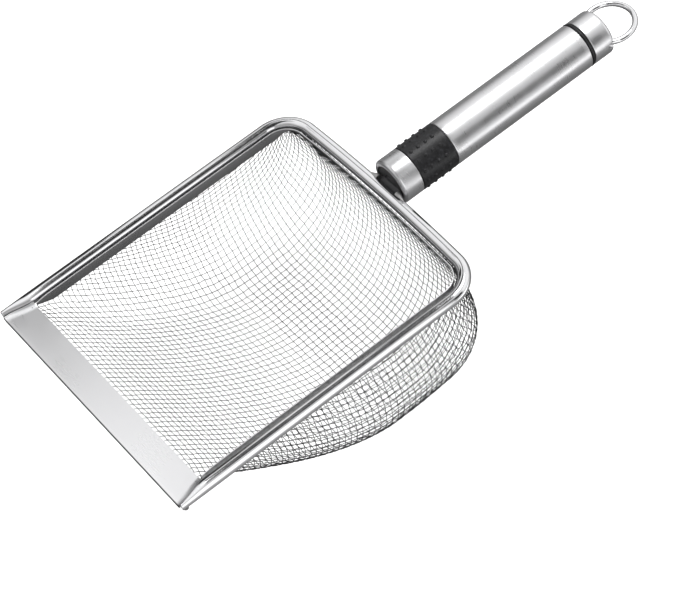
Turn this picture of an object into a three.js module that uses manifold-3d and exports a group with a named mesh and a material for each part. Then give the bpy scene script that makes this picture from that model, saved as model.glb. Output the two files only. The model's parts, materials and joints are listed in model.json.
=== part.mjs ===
// Soil sieve: a hand-held sifting scoop with a steel tube rim, a folded sheet lip, a woven basket
// and a round handle with a hanging ring. Millimetres, +Z up.
// The parts are laid out with Y = 0 at the front edge of the lip, +Y towards the handle, X = 0 on the
// plane of symmetry and Z = 0 on the centre plane of the rim. The exported group then moves the origin
// to the middle of the footprint, at the lowest point of the basket.
import * as THREE from 'three';
import { mergeVertices } from 'three/addons/utils/BufferGeometryUtils.js';
import Module from 'manifold-3d';

const wasm = await Module();
wasm.setup();

// ---------------------------------------------------------------- driving dimensions
const GAP = 0.3;                 // clearance between pieces that touch

const RAIL_SPACING = 150;        // between the centre lines of the two side rails
const RIM_TUBE_R = 3.3;
const BACK_RAIL_Y = 178.6;       // centre line of the back rail, at its two ends
const BACK_RAIL_BOW = 1.3;       // how far its middle stands behind its ends
const RIM_CORNER_R = 17;         // centre line of the back corners
const RIM_FRONT_Y = 0.6;         // where the pinched front ends stop
const PINCH_LENGTH = 16.5;       // stretch over which a front end narrows
const PINCH_SHARE = 0.44;        // width left at the tip, as a share of the tube

const BAND_OFFSET = 5;           // centre line of the clamping band, inside the rim's centre line
const BAND_THICKNESS = 0.6;
const BAND_TOP = 1.7;
const BAND_BOTTOM = -4.6;
const BAND_FRONT_Y = 17;
const BAND_END_CURVE = 8.5;      // stretch over which its lower edge comes up at a front end
const BAND_END_Z = -1.2;
const BAND_BACK_HEIGHT = 1.5;    // it is only a narrow bead along the back rail
const BAND_BACK_START = 163;     // where its lower edge starts to come up in the back corners
const BAND_BACK_CLIMB = 9;

const NET_OFFSET = 4;            // edge of the woven net, inside the rim's centre line
const NET_THICKNESS = 0.5;
const NET_EDGE_Z = -0.3;
const BASKET_DEPTH = 76;
const BASKET_DEEPEST_Y = 119;    // from here to the back the floor is level
const BASKET_SLOPE_POWER = 1.6;  // how the floor dives behind the lip
const SIDE_WALL_REACH = 21;      // how far a side wall takes to round into the floor
const BACK_WALL_REACH = 43;
const WALL_POWER = 3.2;          // superellipse power of the wall sections
const WALL_BULGE = 6.5;          // outward belly of the walls at half depth

const LIP_DEPTH = 16;
const LIP_MID_Z = -1.65;         // middle plane of the folded lip
const LIP_SHEET = 0.45;          // sheet thickness
const LIP_FRONT_THICKNESS = 1.5;
const LIP_REAR_THICKNESS = 2.1;
const LIP_SLOT_START = 9.5;      // the net reaches into the fold up to here
const LIP_EAR_HEIGHT = 2.6;      // turned-up ends beside the pinched tubes
const LIP_EAR_THICKNESS = 0.8;

const HANDLE_Z = 2.3;            // axis of the handle above the rim's centre plane
const HANDLE_R = 12.4;
const HANDLE_WALL = 1.1;
const FERRULE_FRONT_Y = 184.7;
const FERRULE_REAR_Y = 196.4;
const GRIP_REAR_Y = 218.3;
const TUBE_REAR_Y = 305.4;
const SEAL_REAR_Y = 307.3;
const CAP_REAR_Y = 320;
const GRIP_R = 13;                  // over the studs
const SEAL_R = 12.5;
const CORE_R = 10.9;             // steel core under the ferrule, the grip and the tube's mouth
const CORE_WALL = 1.2;
const CORE_REAR_Y = 228;
const TANG_R = 4;
const TANG_REAR_Y = 246;
const SPIGOT_R = 7.5;            // front end of the cap, inside the handle tube
const SPIGOT_FRONT_Y = 293;

const RING_R = 13;               // centre line of the hanging ring
const RING_WIRE_R = 1.5;
const RING_CENTRE_Y = 326.7;
const RING_PIVOT_Y = 317.4;      // straight side of the ring, turning inside the cap
const RING_PIVOT_BORE_R = 1.9;
const RING_SWING_DEG = 18;       // each way

const RAIL_X = RAIL_SPACING / 2;
const NET_X = RAIL_X - NET_OFFSET;
const NET_BACK_Y = BACK_RAIL_Y - NET_OFFSET;
const NET_CORNER_R = RIM_CORNER_R - NET_OFFSET;

// ---------------------------------------------------------------- finishes
const finish = (color, roughness, metalness) => () =>
  new THREE.MeshStandardMaterial({ color, roughness, metalness });
const polishedSteel = finish(0xd9dadb, 0.14, 1);
const satinSteel = finish(0xc4c5c7, 0.34, 1);
const sheetSteel = finish(0xdcdddd, 0.28, 1);
const wireSteel = finish(0x8f9193, 0.4, 1);
const weldSteel = finish(0x9a9b9d, 0.5, 1);
const darkSteel = finish(0x3c3d3f, 0.45, 0.9);
const blackRubber = finish(0x1d1d1e, 0.75, 0);

// ---------------------------------------------------------------- helpers

/** A curve that passes through hand-placed stations, one extrusion step between each two. */
class StationCurve extends THREE.Curve {
  constructor(stations) {
    super();
    this.stations = stations;
  }

  getPointAt(share) {
    return this.stations[Math.round(share * (this.stations.length - 1))].clone();
  }

  getPoint(share) {
    return this.getPointAt(share);
  }

  getTangentAt(share) {
    const last = this.stations.length - 1;
    const i = Math.round(share * last);
    const before = this.stations[Math.max(i - 1, 0)];
    const after = this.stations[Math.min(i + 1, last)];
    return after.clone().sub(before).normalize();
  }
}

function roundTube(stations, radius, sides) {
  const section = new THREE.Shape();
  for (let i = 0; i < sides; i += 1) {
    const angle = (i / sides) * 2 * Math.PI;
    const point = [radius * Math.cos(angle), radius * Math.sin(angle)];
    if (i === 0) section.moveTo(...point);
    else section.lineTo(...point);
  }
  section.closePath();
  const curve = new StationCurve(stations);
  return new THREE.ExtrudeGeometry(section, { steps: stations.length - 1, extrudePath: curve });
}

/** Points of an arc; angles in degrees, counter-clockwise from +x. */
function arc(centreX, centreY, radius, from, to, steps) {
  return Array.from({ length: steps + 1 }, (_, i) => {
    const angle = THREE.MathUtils.degToRad(from + ((to - from) * i) / steps);
    return [centreX + radius * Math.cos(angle), centreY + radius * Math.sin(angle)];
  });
}

/** A turned piece on the Y axis. The outline is [radius, y] pairs, up the outside and down the inside. */
function turned(outline, segments = 40) {
  const points = outline.map(([radius, y]) => new THREE.Vector2(radius, y));
  if (outline[0][0] > 0 || outline[outline.length - 1][0] > 0) points.push(points[0].clone());
  return new THREE.LatheGeometry(points, segments);
}

function shapeOf(points) {
  return new THREE.Shape(points.map(([x, y]) => new THREE.Vector2(x, y)));
}

/** A plate with an outline in X and Y, from z = bottom to z = top. */
function plate(points, bottom, top) {
  const geometry = new THREE.ExtrudeGeometry(shapeOf(points), { depth: top - bottom, bevelEnabled: false });
  return geometry.translate(0, 0, bottom);
}

/** A bar with a section in Y and Z, from x = left to x = right. */
function bar(points, left, right) {
  const geometry = new THREE.ExtrudeGeometry(shapeOf(points), { depth: right - left, bevelEnabled: false });
  const turn = new THREE.Matrix4().makeBasis(
    new THREE.Vector3(0, 1, 0), new THREE.Vector3(0, 0, 1), new THREE.Vector3(1, 0, 0));
  return geometry.applyMatrix4(turn).translate(left, 0, 0);
}

function solidFrom(geometry) {
  const bare = geometry.clone();
  bare.deleteAttribute('normal');
  bare.deleteAttribute('uv');
  const merged = mergeVertices(bare, 1e-4);
  return new wasm.Manifold(new wasm.Mesh({
    numProp: 3,
    vertProperties: new Float32Array(merged.attributes.position.array),
    triVerts: new Uint32Array(merged.index.array),
  }));
}

function geometryFrom(solid) {
  const mesh = solid.getMesh();
  const geometry = new THREE.BufferGeometry();
  geometry.setAttribute('position', new THREE.BufferAttribute(new Float32Array(mesh.vertProperties), 3));
  geometry.setIndex(new THREE.BufferAttribute(new Uint32Array(mesh.triVerts), 1));
  geometry.computeVertexNormals();
  return geometry;
}

const smoothStep = (share) => {
  const t = THREE.MathUtils.clamp(share, 0, 1);
  return t * t * (3 - 2 * t);
};

const mirrored = (points) => points.map(([x, y]) => [-x, y]).reverse();

// ---------------------------------------------------------------- rim

/** The right half of a line that runs inside the rim's centre line: from the front to the middle. */
function rimLine(inset, frontYs, cornerSteps, backSteps) {
  const x = RAIL_X - inset;
  const y = BACK_RAIL_Y - inset;
  const r = RIM_CORNER_R - inset;
  const side = frontYs.map((frontY) => [x, frontY]);
  const corner = arc(x - r, y - r, r, 0, 90, cornerSteps);
  const back = Array.from({ length: backSteps }, (_, i) => {
    const share = (i + 1) / backSteps;
    return [(x - r) * (1 - share), y + BACK_RAIL_BOW * (1 - (1 - share) ** 2)];
  });
  return [...side, ...corner, ...back];
}

/** The same line from the right front end, round the back, to the left front end. */
function rimLoop(inset, frontYs, cornerSteps = 8, backSteps = 4) {
  const half = rimLine(inset, frontYs, cornerSteps, backSteps);
  return [...half, ...mirrored(half.slice(0, -1))];
}

/** One tube bent to a U. Its two front ends are pinched towards their outer side. */
function rimTube() {
  const stations = rimLoop(0, [RIM_FRONT_Y, 4, 8, 12, PINCH_LENGTH, 60, 110], 9, 5)
    .map(([x, y]) => new THREE.Vector3(x, y, 0));
  const geometry = roundTube(stations, RIM_TUBE_R, 16);
  const position = geometry.attributes.position;
  for (let i = 0; i < position.count; i += 1) {
    const y = position.getY(i);
    if (y >= PINCH_LENGTH) continue;
    const side = Math.sign(position.getX(i));
    const outer = RAIL_X + RIM_TUBE_R;
    const share = PINCH_SHARE + (1 - PINCH_SHARE) * smoothStep(y / PINCH_LENGTH);
    position.setX(i, side * (outer - (outer - Math.abs(position.getX(i))) * share));
    position.setZ(i, position.getZ(i) * (0.35 + 0.65 * share));
  }
  geometry.computeVertexNormals();
  return geometry;
}

/** A strip bent to the same U, which clamps the edge of the net against the inside of the rim. Its two
 *  front ends are cut on a curve, because the net there is still close under the rim, and along the
 *  back it is narrow. */
function clampBand() {
  const frontYs = [BAND_FRONT_Y, BAND_FRONT_Y + 0.35 * BAND_END_CURVE, BAND_FRONT_Y + BAND_END_CURVE];
  const outside = rimLoop(BAND_OFFSET - BAND_THICKNESS / 2, frontYs);
  const inside = rimLoop(BAND_OFFSET + BAND_THICKNESS / 2, frontYs);
  const geometry = plate([...outside, ...inside.reverse()], BAND_BOTTOM, BAND_TOP);
  const position = geometry.attributes.position;
  for (let i = 0; i < position.count; i += 1) {
    if (position.getZ(i) > 0) continue;
    const y = position.getY(i);
    const short = Math.max(1 - (y - BAND_FRONT_Y) / BAND_END_CURVE, 0);
    const front = BAND_BOTTOM + (BAND_END_Z - BAND_BOTTOM) * short;
    const climb = smoothStep((y - BAND_BACK_START) / BAND_BACK_CLIMB);
    position.setZ(i, THREE.MathUtils.lerp(front, BAND_TOP - BAND_BACK_HEIGHT, climb));
  }
  geometry.computeVertexNormals();
  return geometry;
}

// ---------------------------------------------------------------- woven basket

/** How deep the floor is at a place along the sieve. */
function floorDepth(y) {
  const share = THREE.MathUtils.clamp((y - LIP_DEPTH) / (BASKET_DEEPEST_Y - LIP_DEPTH), 0, 1);
  return BASKET_DEPTH * (1 - (1 - share) ** BASKET_SLOPE_POWER);
}

/** The middle of the net's edge where a share of the way from the block's start to the corner's middle. */
function cornerEdge(share, alongSide) {
  const straight = (alongSide ? BACK_WALL_REACH : SIDE_WALL_REACH) - NET_CORNER_R;
  const halfArc = (NET_CORNER_R * Math.PI) / 4;
  const way = share * (straight + halfArc);
  const angle = Math.max(way - straight, 0) / NET_CORNER_R;
  const before = Math.min(way - straight, 0);
  const out = NET_CORNER_R * Math.cos(angle) - NET_CORNER_R;
  const along = NET_CORNER_R * (Math.sin(angle) - 1) + before;
  return alongSide ? [NET_X + out, NET_BACK_Y + along] : [NET_X + along, NET_BACK_Y + out];
}

/**
 * A point of the basket. across runs from -1 to 1 and along from 0 to 1 over the floor, and each goes on
 * to +-2 and to 2 up its wall, where a wall's share of its rise turns as the angle of an ellipse does.
 */
function basketPoint(across, along) {
  const rise = (share) => Math.sin((Math.min(share, 1) * Math.PI) / 2) ** (2 / WALL_POWER);
  const side = Math.sign(across);
  const sideShare = rise(Math.max(Math.abs(across) - 1, 0));
  const backShare = rise(Math.max(along - 1, 0));
  const floorX = Math.min(Math.abs(across), 1) * (NET_X - SIDE_WALL_REACH);
  const floorY = LIP_DEPTH + Math.min(along, 1) * (NET_BACK_Y - BACK_WALL_REACH - LIP_DEPTH);
  const wall = Math.max(sideShare, backShare);
  let edge = [floorX, floorY];
  if (sideShare > 0 && backShare > 0) {
    edge = cornerEdge(Math.min(sideShare, backShare) / wall, sideShare >= backShare);
  } else if (sideShare > 0) {
    edge = [NET_X, floorY];
  } else if (backShare > 0) {
    edge = [floorX, NET_BACK_Y];
  }
  const toEdge = new THREE.Vector2(edge[0] - floorX, edge[1] - floorY);
  const place = new THREE.Vector2(floorX, floorY).addScaledVector(toEdge, wall);
  const sink = Math.max(1 - wall ** WALL_POWER, 0) ** (1 / WALL_POWER);
  const depth = floorDepth(place.y) * sink;
  if (wall > 0) {
    const belly = WALL_BULGE * Math.sin(Math.PI * sink) * (floorDepth(place.y) / BASKET_DEPTH);
    place.addScaledVector(toEdge.normalize(), belly);
  }
  const bow = BACK_RAIL_BOW * wall * smoothStep(backShare * 4) * Math.max(1 - (place.x / NET_X) ** 2, 0);
  const edgeZ = THREE.MathUtils.lerp(LIP_MID_Z, NET_EDGE_Z, smoothStep((place.y - LIP_DEPTH) / 14));
  return new THREE.Vector3(side * place.x, place.y + bow, edgeZ - depth);
}

/** The net as a thin closed shell of its true outer shape, with a flat tongue inside the folded lip. */
function meshBasket() {
  const acrossCells = 30;
  const alongCells = 26;
  const tongueCells = 1;
  const wallCells = 8;
  const geometry = new THREE.BoxGeometry(2, 1, 1, acrossCells, alongCells, 1);
  const floorCellsAcross = acrossCells - 2 * wallCells;
  const floorCellsAlong = alongCells - wallCells - tongueCells;

  const acrossAt = (cell) => {
    const fromMiddle = cell - acrossCells / 2;
    const beyond = Math.abs(fromMiddle) - floorCellsAcross / 2;
    const size = beyond <= 0 ? Math.abs(fromMiddle) / (floorCellsAcross / 2) : 1 + beyond / wallCells;
    return Math.sign(fromMiddle) * size;
  };
  const alongAt = (cell) => {
    const beyond = cell - tongueCells - floorCellsAlong;
    return beyond <= 0 ? (cell - tongueCells) / floorCellsAlong : 1 + beyond / wallCells;
  };
  const middleAt = (acrossCell, alongCell) => {
    if (alongCell >= tongueCells) return basketPoint(acrossAt(acrossCell), alongAt(alongCell));
    const point = basketPoint(acrossAt(acrossCell), 0);
    const tongue = (LIP_DEPTH - LIP_SLOT_START - GAP) * (1 - alongCell / tongueCells);
    return point.setY(LIP_DEPTH - tongue);
  };
  const normalAt = (acrossCell, alongCell) => {
    const step = 0.5;
    const clampTo = (value, top) => THREE.MathUtils.clamp(value, 0, top);
    const acrossWay = middleAt(clampTo(acrossCell + step, acrossCells), alongCell)
      .sub(middleAt(clampTo(acrossCell - step, acrossCells), alongCell));
    const alongWay = middleAt(acrossCell, clampTo(alongCell + step, alongCells))
      .sub(middleAt(acrossCell, clampTo(alongCell - step, alongCells)));
    return acrossWay.cross(alongWay).normalize();
  };

  const position = geometry.attributes.position;
  for (let i = 0; i < position.count; i += 1) {
    const acrossCell = Math.round(((position.getX(i) + 1) / 2) * acrossCells);
    const alongCell = Math.round((position.getY(i) + 0.5) * alongCells);
    const point = middleAt(acrossCell, alongCell)
      .addScaledVector(normalAt(acrossCell, alongCell), position.getZ(i) * NET_THICKNESS);
    position.setXYZ(i, point.x, point.y, point.z);
  }
  geometry.computeVertexNormals();
  return geometry;
}

// ---------------------------------------------------------------- lip

/** Where the lip ends beside the pinched tube, at a place between its front and its rear edge. */
function lipHalfWidth(y) {
  const outer = RAIL_X + RIM_TUBE_R;
  const tubeShare = PINCH_SHARE + (1 - PINCH_SHARE) * smoothStep(y / PINCH_LENGTH);
  return outer - 2 * RIM_TUBE_R * tubeShare - GAP;
}

/** One sheet folded double round the front edge of the net, flat below, with its two ends turned up. */
function lipSheet() {
  const rear = LIP_REAR_THICKNESS / 2;
  const front = LIP_FRONT_THICKNESS / 2;
  const nose = arc(front, front - rear, front, 270, 90, 6);
  const slot = LIP_REAR_THICKNESS / 2 - LIP_SHEET;
  const outer = RAIL_X + RIM_TUBE_R;
  const barAtLip = (section) => solidFrom(bar(section, -outer, outer).translate(0, 0, LIP_MID_Z));
  const folded = barAtLip([[LIP_DEPTH, rear], ...nose.reverse(), [LIP_DEPTH, -rear]]);
  const fold = barAtLip([[LIP_DEPTH + 1, slot], [LIP_SLOT_START, slot],
    [LIP_SLOT_START, -slot], [LIP_DEPTH + 1, -slot]]);

  const edge = Array.from({ length: 7 }, (_, i) => (LIP_DEPTH * i) / 6).map((y) => [lipHalfWidth(y), y]);
  const outline = [[lipHalfWidth(0), -1], ...edge, [lipHalfWidth(LIP_DEPTH), LIP_DEPTH + 1]];
  const trimmed = folded.intersect(solidFrom(plate([...outline, ...mirrored(outline)], -10, 10)));

  const inner = edge.map(([x, y]) => [x - LIP_EAR_THICKNESS, y]).reverse();
  const ear = [...edge.slice(1), ...inner.slice(0, -1)];
  const earBottom = LIP_MID_Z - front / 2;
  const earTop = LIP_MID_Z + LIP_EAR_HEIGHT;
  const rightEar = solidFrom(plate(ear, earBottom, earTop));
  const leftEar = solidFrom(plate(mirrored(ear), earBottom, earTop));
  return geometryFrom(trimmed.add(rightEar).add(leftEar).subtract(fold));
}

/** A drop of weld under the joint of a pinched tube end and the lip's corner. */
function weldDrop(lengthX, lengthY, height) {
  return new THREE.SphereGeometry(0.5, 12, 8).scale(lengthX, lengthY, height);
}

// ---------------------------------------------------------------- neck

/** A block between the back rail and the handle, hollowed to sit on the round rail. */
function neckSaddle() {
  const seat = RIM_TUBE_R + GAP;
  const railY = BACK_RAIL_Y + BACK_RAIL_BOW;
  const faceY = FERRULE_FRONT_Y - GAP;
  const hollow = arc(railY, 0, seat, 62, -62, 8);
  const section = [[faceY, -seat + 0.4], [faceY, seat - 0.4], ...hollow];
  return bar(section, -8.5, 8.5);
}

// ---------------------------------------------------------------- handle, all on the axis of the handle

function ferrule() {
  const edge = 2.4;
  const inside = CORE_R + GAP;
  return turned([
    [9.6, FERRULE_FRONT_Y],
    ...arc(HANDLE_R - edge, FERRULE_FRONT_Y + edge, edge, -90, 0, 6),
    [HANDLE_R, FERRULE_REAR_Y - GAP - 0.5], [HANDLE_R - 0.5, FERRULE_REAR_Y - GAP],
    [inside, FERRULE_REAR_Y - GAP], [inside, FERRULE_FRONT_Y + 2.2], [9.6, FERRULE_FRONT_Y + 1.4],
  ]);
}

function ferruleEndDisc() {
  const front = FERRULE_FRONT_Y + 0.4;
  return turned([[TANG_R + GAP, front], [9.3, front], [9.3, front + 1.4], [TANG_R + GAP, front + 1.4]]);
}

function tangRod() {
  const front = FERRULE_FRONT_Y;
  return turned([[0, front], [TANG_R, front], [TANG_R, TANG_REAR_Y - 1], [TANG_R - 1, TANG_REAR_Y],
    [0, TANG_REAR_Y]], 24);
}

function gripCore() {
  const inside = CORE_R - CORE_WALL;
  const front = FERRULE_FRONT_Y + 2.6;
  return turned([[inside, front], [CORE_R, front], [CORE_R, CORE_REAR_Y], [inside, CORE_REAR_Y]]);
}

function tangCollar() {
  const outside = CORE_R - CORE_WALL - GAP;
  return turned([[TANG_R + GAP, 204], [outside, 204], [outside, 212], [TANG_R + GAP, 212]]);
}

function gripSleeve() {
  const inside = CORE_R + GAP;
  const round = 0.6;
  const rear = GRIP_REAR_Y - GAP;
  return turned([
    [inside, FERRULE_REAR_Y],
    ...arc(GRIP_R - round, FERRULE_REAR_Y + round, round, -90, 0, 3),
    ...arc(GRIP_R - round, rear - round, round, 0, 90, 3),
    [inside, rear],
  ]);
}

function handleTube() {
  const inside = HANDLE_R - HANDLE_WALL;
  const rear = TUBE_REAR_Y - GAP;
  return turned([[inside, GRIP_REAR_Y], [HANDLE_R - 0.5, GRIP_REAR_Y], [HANDLE_R, GRIP_REAR_Y + 0.5],
    [HANDLE_R, rear - 0.5], [HANDLE_R - 0.5, rear], [inside, rear]]);
}

function tangPlug() {
  const outside = HANDLE_R - HANDLE_WALL - GAP;
  return turned([[TANG_R + GAP, 232], [outside, 232], [outside, 240], [TANG_R + GAP, 240]]);
}

function tubePlug() {
  const outside = HANDLE_R - HANDLE_WALL - GAP;
  const inside = SPIGOT_R + GAP;
  return turned([[inside, SPIGOT_FRONT_Y], [outside, SPIGOT_FRONT_Y], [outside, TUBE_REAR_Y - GAP],
    [inside, TUBE_REAR_Y - GAP]]);
}

function sealRing() {
  const inside = SPIGOT_R + GAP;
  const rear = SEAL_REAR_Y - GAP;
  const half = (rear - TUBE_REAR_Y) / 2;
  return turned([[inside, TUBE_REAR_Y],
    ...arc(SEAL_R - half, TUBE_REAR_Y + half, half, -90, 90, 8), [inside, rear]]);
}

/** The cap with its spigot, bored across for the straight side of the ring, and open at both ends of
 *  that bore for the swing of the ring's legs. */
function endCap() {
  const edge = 2.3;
  const body = solidFrom(turned([
    [0, SPIGOT_FRONT_Y], [SPIGOT_R - 0.8, SPIGOT_FRONT_Y], [SPIGOT_R, SPIGOT_FRONT_Y + 0.8],
    [SPIGOT_R, SEAL_REAR_Y], [HANDLE_R - 0.5, SEAL_REAR_Y], [HANDLE_R, SEAL_REAR_Y + 0.5],
    ...arc(HANDLE_R - edge, CAP_REAR_Y - edge, edge, 0, 90, 6), [0, CAP_REAR_Y],
  ]));
  const bore = new THREE.CylinderGeometry(RING_PIVOT_BORE_R, RING_PIVOT_BORE_R, 3 * HANDLE_R, 20)
    .rotateZ(Math.PI / 2).translate(0, RING_PIVOT_Y, 0);
  const legRoom = RING_WIRE_R + 0.25;
  const spread = THREE.MathUtils.degToRad(RING_SWING_DEG + 2);
  const mouthY = CAP_REAR_Y + 2;
  const reach = mouthY - RING_PIVOT_Y;
  const mouthHalf = reach * Math.tan(spread) + legRoom / Math.cos(spread);
  const slot = [
    [RING_PIVOT_Y - legRoom, -legRoom * 0.6], [RING_PIVOT_Y - legRoom * 0.2, -legRoom * 1.1],
    [mouthY, -mouthHalf], [mouthY, mouthHalf],
    [RING_PIVOT_Y - legRoom * 0.2, legRoom * 1.1], [RING_PIVOT_Y - legRoom, legRoom * 0.6],
  ];
  const slotStart = ringStraightHalf() - RING_WIRE_R - 0.4;
  const rightSlot = solidFrom(bar(slot, slotStart, HANDLE_R + 1));
  const leftSlot = solidFrom(bar(slot, -HANDLE_R - 1, -slotStart));
  return geometryFrom(body.subtract(solidFrom(bore)).subtract(rightSlot).subtract(leftSlot));
}

/** Half the length of the ring's straight side. */
function ringStraightHalf() {
  return Math.sqrt(RING_R ** 2 - (RING_CENTRE_Y - RING_PIVOT_Y) ** 2);
}

/** A wire bent to a D: a round eye closed by a straight side, where its two ends nearly meet. */
function hangingRing() {
  const half = ringStraightHalf();
  const start = THREE.MathUtils.radToDeg(Math.asin((RING_PIVOT_Y - RING_CENTRE_Y) / RING_R));
  const bend = 6;
  const eye = arc(0, RING_CENTRE_Y, RING_R, start + bend, 180 - start - bend, 26);
  const right = [[0.2, RING_PIVOT_Y], [half - 2.2, RING_PIVOT_Y], [half - 0.6, RING_PIVOT_Y + 0.25]];
  const stations = [...right, ...eye, ...mirrored(right)].map(([x, y]) => new THREE.Vector3(x, y, 0));
  return roundTube(stations, RING_WIRE_R, 12);
}

// ---------------------------------------------------------------- assembly
const sieve = new THREE.Group();
const pan = new THREE.Group();
const handle = new THREE.Group();
handle.position.z = HANDLE_Z;
sieve.add(pan, handle);

function addPart(group, name, geometry, makeFinish, place = [0, 0, 0]) {
  const mesh = new THREE.Mesh(geometry, makeFinish());
  mesh.name = name;
  mesh.position.set(...place);
  group.add(mesh);
}

addPart(pan, 'rim_tube', rimTube(), polishedSteel);
addPart(pan, 'clamp_band', clampBand(), sheetSteel);
addPart(pan, 'mesh_basket', meshBasket(), wireSteel);
addPart(pan, 'lip_sheet', lipSheet(), sheetSteel);
addPart(pan, 'neck_saddle', neckSaddle(), weldSteel);
for (const [side, word] of [[1, 'right'], [-1, 'left']]) {
  const lipWeld = weldDrop(4.5, 3.2, 0.9);
  addPart(pan, `lip_weld_${word}`, lipWeld, weldSteel, [side * 75.6, 2.6, LIP_MID_Z - 1.6]);
  const neckWeld = weldDrop(4.6, 0.9, 4.2);
  addPart(pan, `neck_weld_${word}`, neckWeld, weldSteel, [side * 11.2, 183.9, 0.2]);
}

addPart(handle, 'ferrule', ferrule(), satinSteel);
addPart(handle, 'ferrule_end_disc', ferruleEndDisc(), darkSteel);
addPart(handle, 'tang_rod', tangRod(), satinSteel);
addPart(handle, 'tang_collar', tangCollar(), satinSteel);
addPart(handle, 'grip_core', gripCore(), satinSteel);
addPart(handle, 'grip_sleeve', gripSleeve(), blackRubber);
addPart(handle, 'handle_tube', handleTube(), satinSteel);
addPart(handle, 'tang_plug', tangPlug(), satinSteel);
addPart(handle, 'tube_plug', tubePlug(), satinSteel);
addPart(handle, 'seal_ring', sealRing(), blackRubber);
addPart(handle, 'end_cap', endCap(), satinSteel);
addPart(handle, 'hanging_ring', hangingRing(), polishedSteel);

// Origin: middle of the footprint, at the lowest point of the basket.
sieve.updateMatrixWorld(true);
const extent = new THREE.Box3().setFromObject(sieve, true);
const centre = extent.getCenter(new THREE.Vector3());
sieve.position.set(-centre.x, -centre.y, -extent.min.z);

export default sieve;
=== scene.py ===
"""Soil sieve: a woven wire scoop in a bright tube rim, with a round handle and a hanging ring.

Lengths in the shape functions are millimetres in the workshop frame of the sieve: X across, Y from
the front edge of the lip towards the handle, Z up from the middle of the rim tube. spot() turns them
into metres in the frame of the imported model.
"""
import json
import math
import random

import bmesh
import bpy
from mathutils import Matrix, Vector
from mathutils.bvhtree import BVHTree


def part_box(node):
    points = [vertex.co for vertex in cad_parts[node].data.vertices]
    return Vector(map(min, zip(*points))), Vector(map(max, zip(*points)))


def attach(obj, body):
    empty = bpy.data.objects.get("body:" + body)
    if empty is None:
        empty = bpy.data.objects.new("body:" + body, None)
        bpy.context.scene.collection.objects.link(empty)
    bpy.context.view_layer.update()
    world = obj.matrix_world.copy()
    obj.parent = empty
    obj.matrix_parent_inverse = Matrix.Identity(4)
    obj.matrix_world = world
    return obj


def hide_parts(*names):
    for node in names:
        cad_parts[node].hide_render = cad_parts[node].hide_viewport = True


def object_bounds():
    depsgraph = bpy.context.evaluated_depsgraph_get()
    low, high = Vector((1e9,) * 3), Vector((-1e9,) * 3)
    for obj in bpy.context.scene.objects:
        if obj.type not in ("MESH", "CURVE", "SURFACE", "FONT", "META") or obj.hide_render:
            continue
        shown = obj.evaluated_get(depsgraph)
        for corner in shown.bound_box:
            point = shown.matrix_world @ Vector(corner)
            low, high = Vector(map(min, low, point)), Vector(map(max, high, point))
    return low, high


bl_info = {
    "name": "Soil Sieve Maker",
    "version": (1, 0, 0),
    "blender": (4, 5, 0),
    "location": "3D View > Sidebar > Sieve",
    "description": "Makes the visible pieces, finishes and stage of a hand-held soil sieve",
    "category": "Add Mesh",
}

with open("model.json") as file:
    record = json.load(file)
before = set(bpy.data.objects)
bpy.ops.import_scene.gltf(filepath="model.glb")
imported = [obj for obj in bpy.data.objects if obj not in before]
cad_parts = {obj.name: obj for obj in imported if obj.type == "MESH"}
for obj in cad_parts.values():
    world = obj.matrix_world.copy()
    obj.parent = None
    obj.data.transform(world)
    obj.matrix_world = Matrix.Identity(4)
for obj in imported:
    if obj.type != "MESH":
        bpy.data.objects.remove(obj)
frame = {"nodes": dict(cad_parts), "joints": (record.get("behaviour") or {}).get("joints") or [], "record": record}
CAD_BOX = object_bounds()

# ---------------------------------------------------------------- sizes read from the frame
RIM_LOW, RIM_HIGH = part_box("rim_tube")
LIP_LOW, LIP_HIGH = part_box("lip_sheet")
BAND_LOW, BAND_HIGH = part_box("clamp_band")
FRONT_Y = LIP_LOW.y
RIM_Z = (RIM_LOW.z + RIM_HIGH.z) / 2


def spot(x, y, z):
    """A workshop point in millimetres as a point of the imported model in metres."""
    return Vector((x / 1000, FRONT_Y + y / 1000, RIM_Z + z / 1000))


def along(value):
    """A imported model's Y as a workshop Y."""
    return (value - FRONT_Y) * 1000


def mm(metres):
    return metres * 1000


RIM_R = mm(RIM_HIGH.z - RIM_LOW.z) / 2
RAIL_X = mm(RIM_HIGH.x) - RIM_R
RAIL_BOW = 1.3
BACK_Y = along(RIM_HIGH.y) - RIM_R - RAIL_BOW
LIP_DEPTH = mm(LIP_HIGH.y - LIP_LOW.y)
HANDLE_R = mm(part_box("handle_tube")[1].x)
HANDLE_Z = mm((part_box("handle_tube")[0].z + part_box("handle_tube")[1].z) / 2 - RIM_Z)
FERRULE_Y = along(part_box("ferrule")[0].y)
GRIP_Y = along(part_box("grip_sleeve")[0].y)
GRIP_END_Y = along(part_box("grip_sleeve")[1].y)
GRIP_TOP_R = mm(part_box("grip_sleeve")[1].x)
TUBE_Y = along(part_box("handle_tube")[0].y)
TUBE_END_Y = along(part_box("handle_tube")[1].y)
SEAL_Y = along(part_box("seal_ring")[0].y)
SEAL_END_Y = along(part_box("seal_ring")[1].y)
SEAL_R = mm(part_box("seal_ring")[1].x)
SPIGOT_Y = along(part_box("end_cap")[0].y)
CAP_END_Y = along(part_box("end_cap")[1].y)
RING_LOW, RING_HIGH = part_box("hanging_ring")
RING_WIRE_R = mm(RING_HIGH.z - RING_LOW.z) / 2
RING_R = mm(RING_HIGH.x) - RING_WIRE_R
RING_Y = along(RING_HIGH.y) - RING_WIRE_R - RING_R
RING_PIVOT_Y = along(frame["joints"][0]["pos_m"][1])
RING_LEG_X = math.sqrt(RING_R ** 2 - (RING_Y - RING_PIVOT_Y) ** 2)
RING_SWING = max(frame["joints"][0]["range_deg"])


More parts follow.
